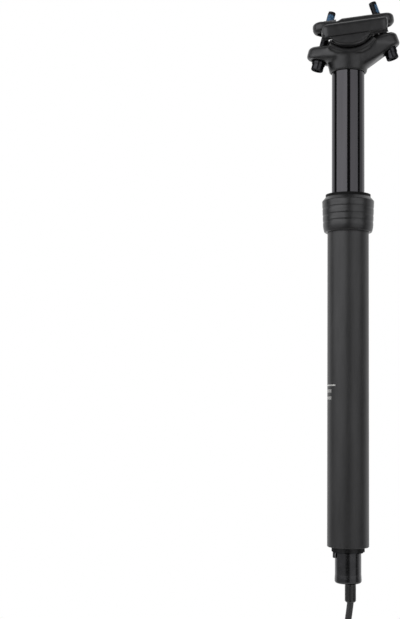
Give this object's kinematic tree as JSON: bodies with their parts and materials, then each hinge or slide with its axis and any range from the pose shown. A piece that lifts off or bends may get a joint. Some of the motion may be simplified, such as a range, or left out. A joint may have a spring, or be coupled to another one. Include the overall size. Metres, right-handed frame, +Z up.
{
  "type": "dropper seatpost",
  "caption": "Straight dropper seatpost: a sprung stanchion slides in a tube, with a tilting saddle rail clamp on top and a cable-worked release at the foot.",
  "frame": {"origin": "on the post's axis, where the outer tube's full-width wall starts at its lower end", "axes": "+Z up along the post, -X towards the front of the bicycle, Y across it"},
  "size_m": [0.0704, 0.052, 0.6031],
  "materials": {
    "matte_black_aluminium": "matte black anodised",
    "satin_black_aluminium": "satin black anodised",
    "gloss_black_aluminium": "gloss black anodised",
    "bare_aluminium": "machined",
    "black_rubber": "matte",
    "bronze": "machined",
    "spring_steel": "ground",
    "polished_rod": "hard chromed",
    "black_steel": "black oxide",
    "nut_steel": "turned",
    "black_plastic": "moulded",
    "housing_plastic": "extruded"
  },
  "bodies": {
    "outer_post": {"outer_tube": "matte_black_aluminium", "seal_collar": "satin_black_aluminium", "wiper_seal": "black_rubber", "collar_o_ring": "black_rubber", "upper_bushing": "bronze", "base_plug": "satin_black_aluminium", "base_circlip": "spring_steel", "tab_washer": "black_steel", "actuator_body": "gloss_black_aluminium", "lever_pin": "spring_steel", "cable_ferrule": "black_plastic", "cable_housing": "housing_plastic", "cable_coupling": "black_plastic", "piston_rod": "polished_rod", "rod_nut": "spring_steel", "piston_head": "bare_aluminium", "piston_seal": "black_rubber", "plunger_spring": "spring_steel"},
    "upper_post": {"stanchion": "gloss_black_aluminium", "post_head": "matte_black_aluminium", "lower_bushing": "bronze", "guide_keys": "bronze", "cartridge_tube": "bare_aluminium", "cartridge_gland": "bare_aluminium", "gland_seal": "black_rubber", "cartridge_cap": "bare_aluminium", "cartridge_circlip": "spring_steel", "top_out_bumper": "black_rubber", "front_bolt": "black_steel", "front_washer": "black_steel", "rear_bolt": "black_steel", "rear_washer": "black_steel"},
    "float": {"floating_piston": "bare_aluminium", "floating_seal": "black_rubber"},
    "saddle_clamp": {"lower_cradle": "matte_black_aluminium", "upper_clamp": "matte_black_aluminium"},
    "front_clamp_nut": {"front_nut": "nut_steel"},
    "rear_clamp_nut": {"rear_nut": "nut_steel"},
    "lever": {"release_lever": "spring_steel"},
    "wire": {"release_wire": "spring_steel"},
    "plunger": {"release_plunger": "bare_aluminium", "valve_rod": "spring_steel"}
  },
  "joints": [
    {"name": "post_drop", "type": "slide", "parent": "outer_post", "child": "upper_post", "axis": [0, 0, 1], "range_m": [-0.09, 0], "stiffness_N_per_m": 300, "springref_m": 0.5},
    {"name": "saddle_tilt", "type": "hinge", "parent": "upper_post", "child": "saddle_clamp", "pos_m": [0, 0, 0.3917], "axis": [0, 1, 0], "range_deg": [-8, 5]},
    {"name": "front_nut_travel", "type": "slide", "parent": "upper_post", "child": "front_clamp_nut", "axis": [0.2491, 0, 0.9685], "range_m": [-0.0021, 0.0014]},
    {"name": "rear_nut_travel", "type": "slide", "parent": "upper_post", "child": "rear_clamp_nut", "axis": [-0.3366, 0, 0.9417], "range_m": [-0.0021, 0.0033]},
    {"name": "float_shift", "type": "slide", "parent": "upper_post", "child": "float", "axis": [0, 0, 1], "range_m": [0, 0.0178]},
    {"name": "plunger_lift", "type": "slide", "parent": "outer_post", "child": "plunger", "axis": [0, 0, 1], "range_m": [0, 0.00159], "stiffness_N_per_m": 150, "springref_m": -0.0008, "deforming": ["plunger_spring"]},
    {"name": "release_tip", "type": "hinge", "parent": "outer_post", "child": "lever", "pos_m": [0.0015, 0.0008, -0.0148], "axis": [1, 0, 0], "range_deg": [0, 20]},
    {"name": "wire_pull", "type": "slide", "parent": "outer_post", "child": "wire", "axis": [0, 0, -1], "range_m": [0, 0.0021]}
  ],
  "couplings": [
    {"joint": "front_nut_travel", "follows": "saddle_tilt", "m_per_rad": 0.014374},
    {"joint": "rear_nut_travel", "follows": "saddle_tilt", "m_per_rad": -0.023038},
    {"joint": "float_shift", "follows": "post_drop", "ratio": -0.1975},
    {"joint": "release_tip", "follows": "plunger_lift", "rad_per_m": 219.97},
    {"joint": "wire_pull", "follows": "plunger_lift", "ratio": 1.2888}
  ]
}
